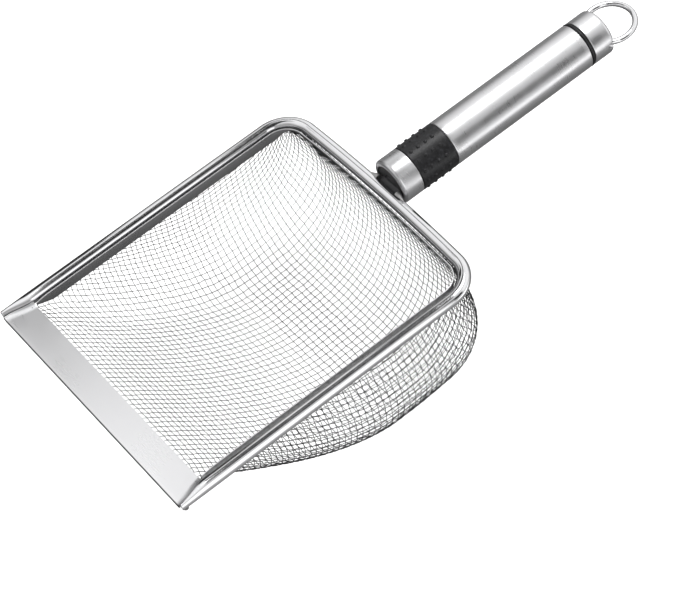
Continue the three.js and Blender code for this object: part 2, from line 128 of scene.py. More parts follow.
# ---------------------------------------------------------------- what a user may change
def length_box(name, metres, description):
    return bpy.props.FloatProperty(
        name=name, description=description, default=metres, unit="LENGTH", precision=5)


def angle_box(name, degrees, description):
    return bpy.props.FloatProperty(
        name=name, description=description, default=math.radians(degrees), subtype="ANGLE")


def tone_box(name, colour, description):
    return bpy.props.FloatVectorProperty(
        name=name, description=description, default=colour, size=3, subtype="COLOR", min=0, max=1)


class SieveSizes(bpy.types.PropertyGroup):
    """Sizes of the woven net and the moulded grip, and the colours of the materials."""

    net_pitch: length_box("Net pitch", 0.0036, "Distance from one wire of the net to the next")
    net_wire: length_box("Net wire", 0.00036, "Thickness of the wires of the net")
    net_wander: length_box("Net wander", 0.00013, "How far the wires stray from an even weave")
    net_depth: length_box("Net depth", 0.0758, "How far the net hangs below its edge")
    stud_height: length_box("Stud height", 0.0006, "How far the studs of the grip stand out")
    stud_width: length_box("Stud width", 0.0018, "Diameter of one stud of the grip")
    rim_bright: tone_box("Bright steel", (0.74, 0.74, 0.75), "Polished rim tube and ring")
    satin_grey: tone_box("Satin steel", (0.70, 0.70, 0.71), "Turned steel of the handle")
    wire_grey: tone_box("Wire grey", (0.045, 0.045, 0.047), "Drawn wire of the net")
    rubber_black: tone_box("Rubber black", (0.007, 0.007, 0.008), "Moulded rubber")


class SieveStage(bpy.types.PropertyGroup):
    """The floor, the lights and the view."""

    floor_tone: tone_box("Floor tone", (0.86, 0.86, 0.86), "Colour of the plain floor")
    view_turn: angle_box("View turn", 66.0, "Direction the camera stands in, round the sieve")
    view_height: angle_box("View height", 52.0, "Angle of the camera above the rim's plane")
    view_roll: angle_box("View roll", -17.3, "Roll of the camera about its own line of sight")
    view_distance: length_box("View distance", 1.2159, "Distance from the camera to the sieve")
    lens: bpy.props.FloatProperty(
        name="Lens", description="Focal length of the camera in millimetres",
        default=136.35, subtype="DISTANCE_CAMERA")


# ---------------------------------------------------------------- shader sheets
class Wire:
    """A socket of a shader sheet, on which sums can be written."""

    def __init__(self, sheet, socket):
        self.sheet = sheet
        self.socket = socket

    def sum(self, operation, first, second):
        return self.sheet.add("ShaderNodeMath", {"operation": operation}, {0: first, 1: second})

    def __add__(self, other):
        return self.sum("ADD", self, other)

    def __mul__(self, other):
        return self.sum("MULTIPLY", self, other)


class Sheet:
    """The node sheet of a material or of the world."""

    def __init__(self, tree):
        self.tree = tree
        tree.nodes.clear()

    def add(self, kind, settings=None, inputs=None, output=0):
        """Adds one node: its settings first, then the values or links of its sockets."""
        node = self.tree.nodes.new(kind)
        for name, value in (settings or {}).items():
            if name == "stops":
                ramp = node.color_ramp
                while len(ramp.elements) < len(value):
                    ramp.elements.new(1.0)
                for element, (position, shade) in zip(ramp.elements, value):
                    element.position = position
                    element.color = (shade, shade, shade, 1)
            else:
                setattr(node, name, value)
        for name, value in (inputs or {}).items():
            if isinstance(value, Wire):
                self.tree.links.new(value.socket, node.inputs[name])
            elif node.inputs[name].type == "RGBA":
                node.inputs[name].default_value = (*value[:3], 1)
            else:
                node.inputs[name].default_value = value
        return Wire(self, node.outputs[output]) if node.outputs else node

    def place(self, stretch=(1, 1, 1)):
        """Position on the object in metres, stretched."""
        here = self.add("ShaderNodeTexCoord", output=3)
        return self.add("ShaderNodeMapping", {}, {"Vector": here, "Scale": stretch})

    def part(self, vector, axis):
        """One of a vector's three parts."""
        return self.add("ShaderNodeSeparateXYZ", {}, {"Vector": vector}, output=axis)

    def cloud(self, size, detail=3.0, rough=0.5, stretch=(1, 1, 1)):
        """Soft noise from 0 to 1 with features of about that size in millimetres."""
        return self.add("ShaderNodeTexNoise", {}, {
            "Vector": self.place(stretch), "Scale": 1000 / size, "Detail": detail, "Roughness": rough})

    def spread(self, value, low, high, to_low, to_high):
        return self.add("ShaderNodeMapRange", {"clamp": True}, {
            "Value": value, "From Min": low, "From Max": high, "To Min": to_low, "To Max": to_high})

    def rough(self, noise, low, high):
        """A roughness that follows noise, which keeps mostly to the middle of its range."""
        return self.spread(noise, 0.3, 0.7, low, high)

    def blend(self, factor, first, second):
        return self.add("ShaderNodeMix", {"data_type": "RGBA"}, {
            "Factor": factor, 6: first, 7: second}, output=2)

    def bump(self, height, depth, strength=1.0):
        return self.add("ShaderNodeBump", {}, {
            "Height": height, "Distance": depth / 1000, "Strength": strength})

    def finish(self, **sockets):
        """The shader itself, whose socket names are written with underscores."""
        inputs = {name.replace("_", " "): value for name, value in sockets.items()}
        shader = self.add("ShaderNodeBsdfPrincipled", {}, inputs)
        self.add("ShaderNodeOutputMaterial", {}, {"Surface": shader})

    def seen_apart(self, output, others, camera):
        """One shader for the camera and another for the light that bounces."""
        seen = self.add("ShaderNodeLightPath", output=0)
        both = self.add("ShaderNodeMixShader", {}, {0: seen, 1: others, 2: camera})
        self.add(output, {}, {"Surface": both})


def new_finish(name):
    material = bpy.data.materials.new(name)
    material.use_nodes = True
    return material, Sheet(material.node_tree)


# Painted shade: a near-black colour painted along the lip's front fold.
PAINTED_HEM_SHADE = (0.05, 0.05, 0.05)
# Painted light and shade: between these two X positions the sheet steel is painted darker towards -X and lighter
# towards +X.
PAINTED_SHADE_END_X, PAINTED_LIGHT_END_X = -0.07, 0.05
WELD_DULL, WELD_BRIGHT = (0.30, 0.29, 0.28), (0.52, 0.52, 0.53)
BLACKENED, BLACK_WORN = (0.030, 0.030, 0.032), (0.085, 0.085, 0.088)


def shade(colour, amount):
    return tuple(channel * amount for channel in colour)


def bright_steel(sheet, sizes):
    """Polished stainless tube: smooth, with faint polishing smears and hairline scratches."""
    smear = sheet.cloud(9, 3, 0.55)
    hair = sheet.cloud(0.5, 2, 0.6, stretch=(1, 0.12, 1))
    colour = sheet.blend(smear, shade(sizes.rim_bright, 0.93), sizes.rim_bright)
    rough = sheet.rough(smear * 0.6 + hair * 0.4, 0.07, 0.16)
    sheet.finish(Base_Color=colour, Metallic=1.0, Roughness=rough, Normal=sheet.bump(hair, 0.01, 0.25))


def satin_steel(sheet, sizes):
    """Turned and satin polished steel: fine rings round the handle, and faint hand marks."""
    rings = sheet.cloud(0.6, 2, 0.6, stretch=(0.06, 1, 0.06))
    marks = sheet.cloud(14, 4, 0.6)
    colour = sheet.blend(marks, shade(sizes.satin_grey, 0.90), shade(sizes.satin_grey, 0.99))
    rough = sheet.rough(rings * 0.4 + marks * 0.6, 0.25, 0.34)
    sheet.finish(Base_Color=colour, Metallic=1.0, Roughness=rough, Normal=sheet.bump(rings, 0.012, 0.3))


def sheet_steel(sheet, sizes):
    """Bright rolled sheet: rolling grain along the strip, dull fingered patches, painted light and shade that
    makes it darker towards -X and lighter towards +X, and painted shade along the front fold.
    """
    grain = sheet.cloud(0.5, 2, 0.6, stretch=(0.05, 1, 1))
    patch = sheet.cloud(22, 4, 0.55)
    here = sheet.place()
    # Painted light and shade: the sheet is painted darker towards -X and lighter towards +X.
    side = sheet.spread(sheet.part(here, 0), PAINTED_SHADE_END_X, PAINTED_LIGHT_END_X, 0, 0.8)
    # Painted shade: a near-black band painted along the front fold, within about 0.6 mm of the front edge.
    painted_hem_shade_mask = sheet.spread(sheet.part(here, 1), FRONT_Y + 0.2 / 1000, FRONT_Y + 0.6 / 1000, 1, 0)
    patches_and_painted_side_light = sheet.blend(side + patch * 0.2, shade(sizes.rim_bright, 0.84), shade(sizes.rim_bright, 1.10))
    colour = sheet.blend(painted_hem_shade_mask, patches_and_painted_side_light, PAINTED_HEM_SHADE)
    rough = sheet.rough(grain * 0.35 + patch * 0.65, 0.24, 0.36)
    sheet.finish(Base_Color=colour, Metallic=1.0, Roughness=rough, Normal=sheet.bump(grain, 0.008, 0.3))


def drawn_wire(sheet, sizes):
    """Drawn steel wire, greyer where it has rubbed at the crossings."""
    dull = sheet.cloud(6, 4, 0.6)
    colour = sheet.blend(dull, shade(sizes.wire_grey, 0.75), shade(sizes.wire_grey, 1.2))
    rough = sheet.rough(dull, 0.42, 0.58)
    sheet.finish(Base_Color=colour, Metallic=0.75, Roughness=rough)


def weld_steel(sheet, sizes):
    """Weld metal and the heat-dulled steel beside it."""
    scale = sheet.cloud(1.4, 4, 0.65)
    heat = sheet.cloud(5, 3, 0.5)
    colour = sheet.blend(heat, WELD_DULL, WELD_BRIGHT)
    rough = sheet.rough(scale, 0.32, 0.52)
    sheet.finish(Base_Color=colour, Metallic=1.0, Roughness=rough, Normal=sheet.bump(scale, 0.08, 0.5))


def dark_steel(sheet, sizes):
    """The blackened end face inside the ferrule."""
    stain = sheet.cloud(3, 4, 0.6)
    colour = sheet.blend(stain, BLACKENED, BLACK_WORN)
    rough = sheet.rough(stain, 0.42, 0.6)
    sheet.finish(Base_Color=colour, Metallic=0.6, Roughness=rough, Normal=sheet.bump(stain, 0.05, 0.4))


def moulded_rubber(sheet, sizes):
    """Matt black rubber with a fine pebbled skin and a little pale bloom."""
    pebble = sheet.add("ShaderNodeTexVoronoi", {"feature": "F1"}, {
        "Vector": sheet.place(), "Scale": 1000 / 0.55})
    bloom = sheet.cloud(1.6, 4, 0.7)
    fleck = sheet.spread(bloom, 0.5, 0.78, 0.0, 1.0)
    colour = sheet.blend(fleck, sizes.rubber_black, shade(sizes.rubber_black, 5))
    rough = sheet.rough(bloom, 0.26, 0.42)
    sheet.finish(Base_Color=colour, Metallic=0.0, Roughness=rough, Specular_IOR_Level=0.36,
                 Normal=sheet.bump(pebble, 0.07, 0.5))


FINISHES = {
    "polished_steel": bright_steel,
    "satin_steel": satin_steel,
    "sheet_steel": sheet_steel,
    "woven_wire": drawn_wire,
    "weld_steel": weld_steel,
    "dark_steel": dark_steel,
    "black_rubber": moulded_rubber,
}


def finish_for(slot):
    """The one material made for a slot of the record."""
    known = bpy.data.materials.get("sieve_" + slot)
    if known:
        return known
    material, sheet = new_finish("sieve_" + slot)
    FINISHES[slot](sheet, bpy.context.scene.sieve_sizes)
    return material


# ---------------------------------------------------------------- meshes
CREASE = 38


def put(name, data):
    """A new object with that data, in the scene."""
    item = bpy.data.objects.new(name, data)
    bpy.context.scene.collection.objects.link(item)
    return item


def make_piece(name, points, faces, slot, body="scoop", replaces=(), crease=CREASE):
    """One object from workshop points, riding on a body and standing for the named CAD nodes."""
    mesh = bpy.data.meshes.new(name)
    mesh.from_pydata([spot(*point) for point in points], [], faces)
    tidy = bmesh.new()
    tidy.from_mesh(mesh)
    bmesh.ops.recalc_face_normals(tidy, faces=tidy.faces)
    tidy.to_mesh(mesh)
    tidy.free()
    piece = put(name, mesh)
    mesh.shade_smooth()
    mesh.set_sharp_from_angle(angle=math.radians(crease))
    mesh.materials.append(finish_for(slot))
    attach(piece, body)
    if replaces:
        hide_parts(*replaces)
    return piece


def loft(rings, closed=False, caps=True):
    """Points and faces through rings of equal length."""
    count = len(rings[0])
    points = [point for ring in rings for point in ring]
    faces = []
    steps = len(rings) if closed else len(rings) - 1
    for step in range(steps):
        low, high = step * count, ((step + 1) % len(rings)) * count
        for i in range(count):
            j = (i + 1) % count
            faces.append((low + i, low + j, high + j, high + i))
    if caps and not closed:
        faces.append(tuple(range(count))[::-1])
        faces.append(tuple(range(len(points) - count, len(points))))
    return points, faces


def join(*parts):
    points, faces = [], []
    for more_points, more_faces in parts:
        start = len(points)
        points += list(more_points)
        faces += [tuple(i + start for i in face) for face in more_faces]
    return points, faces


def arc(cx, cy, radius, start, end, steps):
    turns = [math.radians(start + (end - start) * i / steps) for i in range(steps + 1)]
    return [(cx + radius * math.cos(turn), cy + radius * math.sin(turn)) for turn in turns]


def circle(cx, cy, radius, sides):
    return arc(cx, cy, radius, 0, 360 - 360 / sides, sides - 1)


def turned(outline, sides=96):
    """A turned solid on the handle's axis. The outline of (radius, y) pairs runs in a closed loop."""
    rings = []
    for i in range(sides):
        turn = 2 * math.pi * i / sides
        rings.append([(r * math.cos(turn), y, HANDLE_Z + r * math.sin(turn)) for r, y in outline])
    return loft(rings, closed=True)


def solid_turned(outline, sides):
    """A turned solid with no bore. The outline runs from one end of its axis to the other."""
    rings = []
    for r, y in outline:
        turns = [-2 * math.pi * i / sides for i in range(sides)]
        rings.append([(r * math.cos(t), y, HANDLE_Z + r * math.sin(t)) for t in turns])
    return loft(rings)


def rim_loop(inset, fronts):
    """A line inside the rim's centre line, from its right front end round the back to the left."""
    x, y, r = RAIL_X - inset, BACK_Y - inset, RIM_CORNER_R - inset
    half = [(x, front) for front in fronts] + arc(x - r, y - r, r, 0, 90, 24)
    for share in [i / 16 for i in range(1, 17)]:
        half.append(((x - r) * (1 - share), y + RAIL_BOW * (1 - (1 - share) ** 2)))
    return half + [(-x, y) for x, y in reversed(half[:-1])]


def flat_sweep(path, sections):
    """Rings of (outward, up) sections along a path in the plane of the rim."""
    rings = []
    for i, (x, y) in enumerate(path):
        before, after = path[max(i - 1, 0)], path[min(i + 1, len(path) - 1)]
        way = Vector((after[0] - before[0], after[1] - before[1])).normalized()
        out = (way.y, -way.x)
        rings.append([(x + out[0] * a, y + out[1] * a, b) for a, b in sections[i]])
    return rings


RIM_CORNER_R = 17
PINCH_LENGTH = 16.5
PINCH_SHARE = 0.44
RAIL_STATIONS = [30, 60, 90, 120, 145]


def smooth_step(share):
    share = min(max(share, 0), 1)
    return share * share * (3 - 2 * share)


def pinch_at(y):
    return PINCH_SHARE + (1 - PINCH_SHARE) * smooth_step(y / PINCH_LENGTH)


# ---------------------------------------------------------------- rim and clamping band
def rim_tube():
    """One tube bent to a U, its front ends pinched towards their outer side and left open."""
    path = rim_loop(0, [0.6, 1.2, 2, 3, 4, 5.5, 7, 8.5, 10, 11.5, 13, 14.8, PINCH_LENGTH] + RAIL_STATIONS)
    sections = []
    for _, y in path:
        share = pinch_at(y)
        ring = circle(0, 0, RIM_R, 44)
        sections.append([(RIM_R - (RIM_R - a) * share, b * (0.35 + 0.65 * share)) for a, b in ring])
    rings = flat_sweep(path, sections)
    for end, way in ((0, 1), (-1, -1)):
        tip = rings[end]
        middle = [sum(point[k] for point in tip) / len(tip) for k in range(3)]
        mouth = []
        for inset, deep in ((0.62, 0), (0.5, 0.5), (0.42, 2.6)):
            mouth.append([(middle[0] + (x - middle[0]) * inset, y + deep,
                           middle[2] + (z - middle[2]) * inset) for x, y, z in tip])
        rings = mouth[::-1] + rings if way == 1 else rings + mouth
    return loft(rings)


BAND_OFFSET = 5
BAND_HALF = 0.3
BAND_FRONT_Y = 17
BAND_END_CURVE = 8.5
BAND_END_Z = -1.2
BAND_BACK_HEIGHT = 1.5
BAND_BACK_START = 163
BAND_BACK_CLIMB = 9


def clamp_band():
    """The strip that clamps the net's edge, curved at its front ends and narrow along the back."""
    fronts = [BAND_FRONT_Y + BAND_END_CURVE * i / 8 for i in range(9)] + RAIL_STATIONS[1:]
    path = rim_loop(BAND_OFFSET, fronts)
    top, bottom = mm(BAND_HIGH.z - RIM_Z), mm(BAND_LOW.z - RIM_Z)
    sections = []
    for _, y in path:
        short = max(1 - (y - BAND_FRONT_Y) / BAND_END_CURVE, 0)
        low = bottom + (BAND_END_Z - bottom) * short
        low += (top - BAND_BACK_HEIGHT - low) * smooth_step((y - BAND_BACK_START) / BAND_BACK_CLIMB)
        high = top - 1.1 * short ** 2
        round_top = arc(0, high - BAND_HALF, BAND_HALF, 0, 180, 8)
        round_low = arc(0, low + BAND_HALF, BAND_HALF, 180, 360, 6)
        sections.append(round_top + round_low)
    return loft(flat_sweep(path, sections))


class SIEVE_OT_rim(bpy.types.Operator):
    """Make the bright rim tube and the band that clamps the net inside it"""

    bl_idname = "sieve.rim"
    bl_label = "Rim and Band"

    def execute(self, context):
        make_piece("rim_tube_bright", *rim_tube(), "polished_steel", replaces=["rim_tube"])
        make_piece("clamp_band_strip", *clamp_band(), "sheet_steel", replaces=["clamp_band"])
        return {"FINISHED"}


# ---------------------------------------------------------------- woven net
NET_X = RAIL_X - 4
NET_BACK_Y = BACK_Y - 4
NET_CORNER_R = RIM_CORNER_R - 4
NET_EDGE_Z = -0.3
DEEPEST_Y = 119
SLOPE_POWER = 1.6
SIDE_REACH = 21
BACK_REACH = 43
WALL_POWER = 3.2
WALL_BULGE = 6.5
LIP_MID_Z = -1.65
APRON = 12
HELD_Z, HELD_UNDER_LIP = -0.2, 4
MOST_CROSSINGS = 70
LONGEST_MOVE = 4
EVEN_ERROR = 0.3
LEAST_LEAN = 0.75
ROW_REACH = 8
EVEN_ROUNDS = 12


def floor_depth(y, depth):
    share = min(max((y - LIP_DEPTH) / (DEEPEST_Y - LIP_DEPTH), 0), 1)
    return depth * (1 - (1 - share) ** SLOPE_POWER)


def corner_edge(share, along_side):
    """The net's edge from where a wall's block starts to the middle of the round corner."""
    straight = (BACK_REACH if along_side else SIDE_REACH) - NET_CORNER_R
    way = share * (straight + NET_CORNER_R * math.pi / 4)
    turn = max(way - straight, 0) / NET_CORNER_R
    out = NET_CORNER_R * (math.cos(turn) - 1)
    on = NET_CORNER_R * (math.sin(turn) - 1) + min(way - straight, 0)
    return (NET_X + out, NET_BACK_Y + on) if along_side else (NET_X + on, NET_BACK_Y + out)


def net_point(across, on, depth):
    """A point of the hanging net: -1 to 1 and 0 to 1 over its floor, and up to 2 on its walls."""
    def rise(share):
        return math.sin(min(share, 1) * math.pi / 2) ** (2 / WALL_POWER)

    side_share = rise(max(abs(across) - 1, 0))
    back_share = rise(max(on - 1, 0))
    floor_x = min(abs(across), 1) * (NET_X - SIDE_REACH)
    floor_y = LIP_DEPTH + min(on, 1) * (NET_BACK_Y - BACK_REACH - LIP_DEPTH)
    wall = max(side_share, back_share)
    edge = (floor_x, floor_y)
    if side_share > 0 and back_share > 0:
        edge = corner_edge(min(side_share, back_share) / wall, side_share >= back_share)
    elif side_share > 0:
        edge = (NET_X, floor_y)
    elif back_share > 0:
        edge = (floor_x, NET_BACK_Y)
    way = Vector((edge[0] - floor_x, edge[1] - floor_y))
    x, y = floor_x + way.x * wall, floor_y + way.y * wall
    sink = max(1 - wall ** WALL_POWER, 0) ** (1 / WALL_POWER)
    here = floor_depth(y, depth)
    if wall > 0:
        belly = way.normalized() * WALL_BULGE * math.sin(math.pi * sink) * here / depth
        x, y = x + belly.x, y + belly.y
    bow = RAIL_BOW * wall * smooth_step(back_share * 4) * max(1 - (x / NET_X) ** 2, 0)
    edge_z = LIP_MID_Z + (NET_EDGE_Z - LIP_MID_Z) * smooth_step((y - LIP_DEPTH) / 14)
    return Vector((math.copysign(x, across), y + bow, edge_z - here * sink))


def net_form(depth):
    """The net's form as a fine surface to lay wires on, with an apron beyond each of its edges."""
    half_cells, deep_cells = 64, 128
    grid = []
    for j in range(-1, deep_cells + 2):
        row = []
        for i in range(-half_cells - 1, half_cells + 2):
            across = 2 * min(max(i / half_cells, -1), 1)
            on = 2 * min(max(j / deep_cells, 0), 1)
            point = net_point(across, on, depth)
            if j < 0:
                point.y -= APRON
            if abs(i) > half_cells or j > deep_cells:
                point.z += APRON
            row.append(point)
        grid.append(row)
    wide = 2 * half_cells + 3
    points = [point for row in grid for point in row]
    faces = []
    for j in range(len(grid) - 1):
        for i in range(wide - 1):
            a = j * wide + i
            faces.append((a, a + 1, a + wide + 1, a + wide))
    return BVHTree.FromPolygons(points, faces)


def settle(form, guess, demands):
    """Moves a guess to the place on the form where it meets two demands (a point and a distance, or
    a point and a direction to stay square to)."""
    place = guess
    for _ in range(10):
        place, up, _, _ = form.find_nearest(place)
        side = up.orthogonal().normalized()
        ahead = up.cross(side)
        rows = []
        for kind, anchor, amount in demands:
            gap = place - anchor
            if kind == "length":
                rows.append((gap.dot(side), gap.dot(ahead), (amount ** 2 - gap.length_squared) / 2))
            else:
                rows.append((amount.dot(side), amount.dot(ahead), -gap.dot(amount)))
        (a, b, c), (d, e, f) = rows
        spread = a * e - b * d
        if abs(spread) < 1e-3:
            break
        move = side * ((c * e - b * f) / spread) + ahead * ((a * f - c * d) / spread)
        if move.length > LONGEST_MOVE:
            move = move.normalized() * LONGEST_MOVE
        place = place + move
        if move.length < 1e-4:
            break
    return form.find_nearest(place)[0]


def lay_middle_wires(form, start, pitch):
    """The crossings along the two wires that run straight through the start."""
    knots = {(0, 0): start}
    for sign in (1, -1):
        for axis in (0, 1):
            step = Vector((sign, 0, 0)) if axis == 0 else Vector((0, sign, 0))
            square = Vector((0, 1, 0)) if axis == 0 else Vector((1, 0, 0))
            before, place = start - step * pitch, start
            for n in range(1, MOST_CROSSINGS):
                guess = place + (place - before)
                found = settle(form, guess, [("length", place, pitch), ("square", start, square)])
                if (found - place).length < pitch * 0.7 or (found - before).length < pitch:
                    break
                before, place = place, found
                knots[(sign * n, 0) if axis == 0 else (0, sign * n)] = place
    return knots


def next_crossing(form, left, below, corner, pitch):
    """The crossing that closes a mesh with three known ones, or None past the net's rough edge.
    Where a mesh would fold flat it is stretched a little instead."""
    found = settle(form, left + below - corner, [("length", left, pitch), ("length", below, pitch)])
    even = all(abs((found - other).length - pitch) < EVEN_ERROR for other in (left, below))
    if even and (found - corner).length >= pitch * LEAST_LEAN:
        return found
    ahead = left + below - corner * 2
    stride = max(ahead.length, pitch * LEAST_LEAN)
    found = form.find_nearest(corner + ahead.normalized() * stride)[0]
    stuck = (found - corner).length < pitch * 0.4
    return None if stuck or in_net(found) < -APRON / 2 else found


def lay_net(sizes):
    """The crossings of a square weave draped over the form: a mesh keeps its four sides' length where
    it can, so the wires run straight across the middle and lean into the corners."""
    pitch = mm(sizes.net_pitch)
    form = net_form(mm(sizes.net_depth))
    start = form.find_nearest(Vector((0, DEEPEST_Y, -mm(sizes.net_depth))))[0]
    knots = lay_middle_wires(form, start, pitch)
    quarters = [(1, 1), (1, -1), (-1, 1), (-1, -1)]
    steps = [(n, total - n) for total in range(2, 130) for n in range(1, total)]
    for sign_x, sign_y in quarters:
        for across, on in steps:
            i, j = sign_x * across, sign_y * on
            known = [knots.get(key) for key in ((i - sign_x, j), (i, j - sign_y), (i - sign_x, j - sign_y))]
            found = None if None in known else next_crossing(form, *known, pitch)
            if found is not None:
                knots[(i, j)] = found
    spread_rows(form, knots)
    return form, ease(form, knots)


def evened(gaps):
    """Gaps of a row smoothed over their neighbours, with the same sum and nearly the same ends."""
    soft = gaps
    for _ in range(2):
        mean = []
        for k in range(len(soft)):
            reach = min(k, len(soft) - 1 - k, ROW_REACH)
            around = soft[k - reach:k + reach + 1]
            mean.append(sum(around) / len(around))
        soft = mean
    scale = sum(gaps) / sum(soft)
    return [gap * scale for gap in soft]


def spread_row(form, knots, row):
    """Slides the crossings of one slanting row along it until the crowded ones share their room."""
    line = [knots[key] for key in row]
    gaps = [(b - a).length for a, b in zip(line, line[1:])]
    ends = [sum(gaps[:k]) for k in range(len(gaps) + 1)]
    way = 0
    for key, step in zip(row[1:-1], evened(gaps)):
        way += step
        k = max(n for n, end in enumerate(ends[:-1]) if end <= way)
        share = (way - ends[k]) / max(gaps[k], 1e-6)
        knots[key] = form.find_nearest(line[k].lerp(line[k + 1], min(share, 1)))[0]


def spread_rows(form, knots):
    """Spreads the slanting rows that run round the two back corners, where the net is crowded."""
    highest = max(abs(i) + abs(j) for i, j in knots)
    for sign in (1, -1):
        for total in range(6, highest + 1):
            row = []
            for n in range(1, total + 1):
                key = (sign * n, total - n)
                if n < total and key in knots:
                    row.append(key)
                    continue
                if len(row) > 4:
                    spread_row(form, knots, row)
                row = []


def ease(form, knots):
    """Evens the net out, as the press does when it stretches it. Crossings at the rough edge of the
    net slide along it and keep their height."""
    for _ in range(EVEN_ROUNDS):
        eased = {}
        for (i, j), place in knots.items():
            pairs = [(knots.get((i - 1, j)), knots.get((i + 1, j))),
                     (knots.get((i, j - 1)), knots.get((i, j + 1)))]
            whole = [(a + b) / 2 for a, b in pairs if a is not None and b is not None]
            if not whole:
                eased[(i, j)] = place
                continue
            middle = sum(whole, Vector((0, 0, 0))) / len(whole)
            target = place.lerp(middle, 0.5)
            if len(whole) < 2:
                target.z = place.z
            eased[(i, j)] = form.find_nearest(target)[0]
        knots = eased
    return knots


def in_net(point):
    """How far inside the net's held edges a point is."""
    return min(HELD_Z - point.z, point.y - (LIP_DEPTH - HELD_UNDER_LIP))


def wire_rings(line, radius, sides=6):
    """Rings of one wire along (point, way up) pairs."""
    rings = []
    for n, (point, up) in enumerate(line):
        way = (line[min(n + 1, len(line) - 1)][0] - line[max(n - 1, 0)][0]).normalized()
        side = way.cross(up).normalized()
        top = side.cross(way)
        rings.append([tuple(point + side * (radius * math.cos(t)) + top * (radius * math.sin(t)))
                      for t in [2 * math.pi * k / sides for k in range(sides)]])
    return rings


def weave(sizes, form, knots, rng):
    """Two sets of wires that pass over and under each other at the crossings."""
    radius = mm(sizes.net_wire) / 2
    wander = mm(sizes.net_wander)
    strayed = {}
    for key in sorted(knots):
        stray = Vector((rng.gauss(0, wander), rng.gauss(0, wander), rng.gauss(0, wander)))
        place, up, _, _ = form.find_nearest(knots[key] + stray)
        if up.z < -0.3:
            up = -up
        strayed[key] = (place, up)
    highest = max(max(abs(i), abs(j)) for i, j in knots)
    sets = []
    for axis in (0, 1):
        parts = []
        for fixed in range(-highest, highest + 1):
            run = []
            for moving in range(-highest, highest + 2):
                key = (moving, fixed) if axis == 0 else (fixed, moving)
                if key in strayed:
                    lift = radius * 0.95 * (1 if (key[0] + key[1] + axis) % 2 else -1)
                    run.append((*strayed[key], lift))
                    continue
                parts += cut_wire(run, radius)
                run = []
        sets.append(join(*parts))
    return sets


def cut_wire(run, radius):
    """The lengths of one wire that lie inside the net's edges, as lofted tubes."""
    parts, line = [], []
    for n, (place, up, lift) in enumerate(run):
        inside = in_net(place)
        if n:
            last_place, last_up, _ = run[n - 1]
            last_inside = in_net(last_place)
            if inside > 0 and last_inside > 0:
                line.append(((place + last_place) / 2, (up + last_up).normalized()))
            elif (inside > 0) != (last_inside > 0):
                share = last_inside / (last_inside - inside)
                edge = last_place.lerp(place, share)
                line.append((edge, up if inside > 0 else last_up))
                if inside <= 0:
                    if len(line) > 2:
                        parts.append(loft(wire_rings(line, radius)))
                    line = []
        if inside > 0:
            line.append((place + up * lift, up))
    if len(line) > 2:
        parts.append(loft(wire_rings(line, radius)))
    return parts


class SIEVE_OT_net(bpy.types.Operator):
    """Weave the wire net that hangs in the rim"""

    bl_idname = "sieve.net"
    bl_label = "Woven Net"

    def execute(self, context):
        sizes = context.scene.sieve_sizes
        rng = random.Random(7)
        form, knots = lay_net(sizes)
        if len(knots) < 1000:
            raise RuntimeError("the net came out with too few crossings: check its pitch and depth")
        cross_wires, long_wires = weave(sizes, form, knots, rng)
        make_piece("net_cross_wires", *cross_wires, "woven_wire", replaces=["mesh_basket"], crease=80)
        make_piece("net_long_wires", *long_wires, "woven_wire", replaces=["mesh_basket"], crease=80)
        return {"FINISHED"}


# ---------------------------------------------------------------- lip
def lip_half_width(y):
    return RAIL_X + RIM_R - 2 * RIM_R * pinch_at(y) - 0.3


LIP_CURL, LIP_RISE = 3.4, 2.2


def folded_lip():
    """The lip's sheet, folded back under itself round the net's front edge, its two ends turned up."""
    rear, front, leaf = 1.05, 0.9, 0.45
    turn = 0.15
    nose = arc(turn, 2 * front - rear - turn, turn, 90, 180, 6) + arc(turn, turn - rear, turn, 180, 270, 6)
    gap = rear - leaf
    depths = [LIP_DEPTH - (LIP_DEPTH - 1.2) * i / 9 for i in range(9)]
    top = [(y, rear - (2 * rear - 2 * front) * (1 - y / LIP_DEPTH)) for y in depths]
    low = [(y, -rear) for y in reversed(depths)]
    slot = [(LIP_DEPTH, -gap), (LIP_DEPTH - 2.5, -gap + 0.15), (LIP_DEPTH - 5, -gap + 0.3),
            (LIP_DEPTH - 5, gap - 0.3), (LIP_DEPTH - 2.5, gap - 0.15), (LIP_DEPTH, gap)]
    section = top + nose + low + slot
    stations = [-1, -0.998, -0.994] + [-0.988 + 0.008 * i for i in range(7)] + [-0.93]
    stations += [-0.9 + 1.8 * i / 36 for i in range(37)] + [-s for s in reversed(stations)]
    rings = []
    for station in stations:
        ring = []
        for y, z in section:
            half = lip_half_width(y)
            x = station * half
            near = min(max(1 - (half - abs(x)) / LIP_CURL, 0), 0.97)
            rise = LIP_RISE * (1 - math.sqrt(1 - near ** 2)) * (0.45 + 0.55 * smooth_step(y / LIP_DEPTH))
            ring.append((x, y, LIP_MID_Z + z + rise))
        rings.append(ring)
    return loft(rings)


class SIEVE_OT_lip(bpy.types.Operator):
    """Make the folded lip that closes the front of the rim"""

    bl_idname = "sieve.lip"
    bl_label = "Lip"

    def execute(self, context):
        make_piece("lip_folded_sheet", *folded_lip(), "sheet_steel", replaces=["lip_sheet"])
        return {"FINISHED"}


# ---------------------------------------------------------------- handle's root
NECK_HALF, NECK_FLARE = 8.4, 1.6
NECK_TOP, NECK_DIP, NECK_LOW = 2.2, 0.9, -3.4
WEB_START, WEB_LENGTH, WEB_TAPER = 7.4, 7.2, 2.6
WEB_MID_Z, WEB_TOP, WEB_FALL = 0.2, 3.35, 1.0


def squared_oval(sides, power_a, power_b):
    """An outline in a square of side 2 round the origin, pushed out towards the square's corners."""
    outline = []
    for turn in [2 * math.pi * k / sides for k in range(sides)]:
        a, b = math.cos(turn), math.sin(turn)
        outline.append((math.copysign(abs(a) ** power_a, a), math.copysign(abs(b) ** power_b, b)))
    return outline


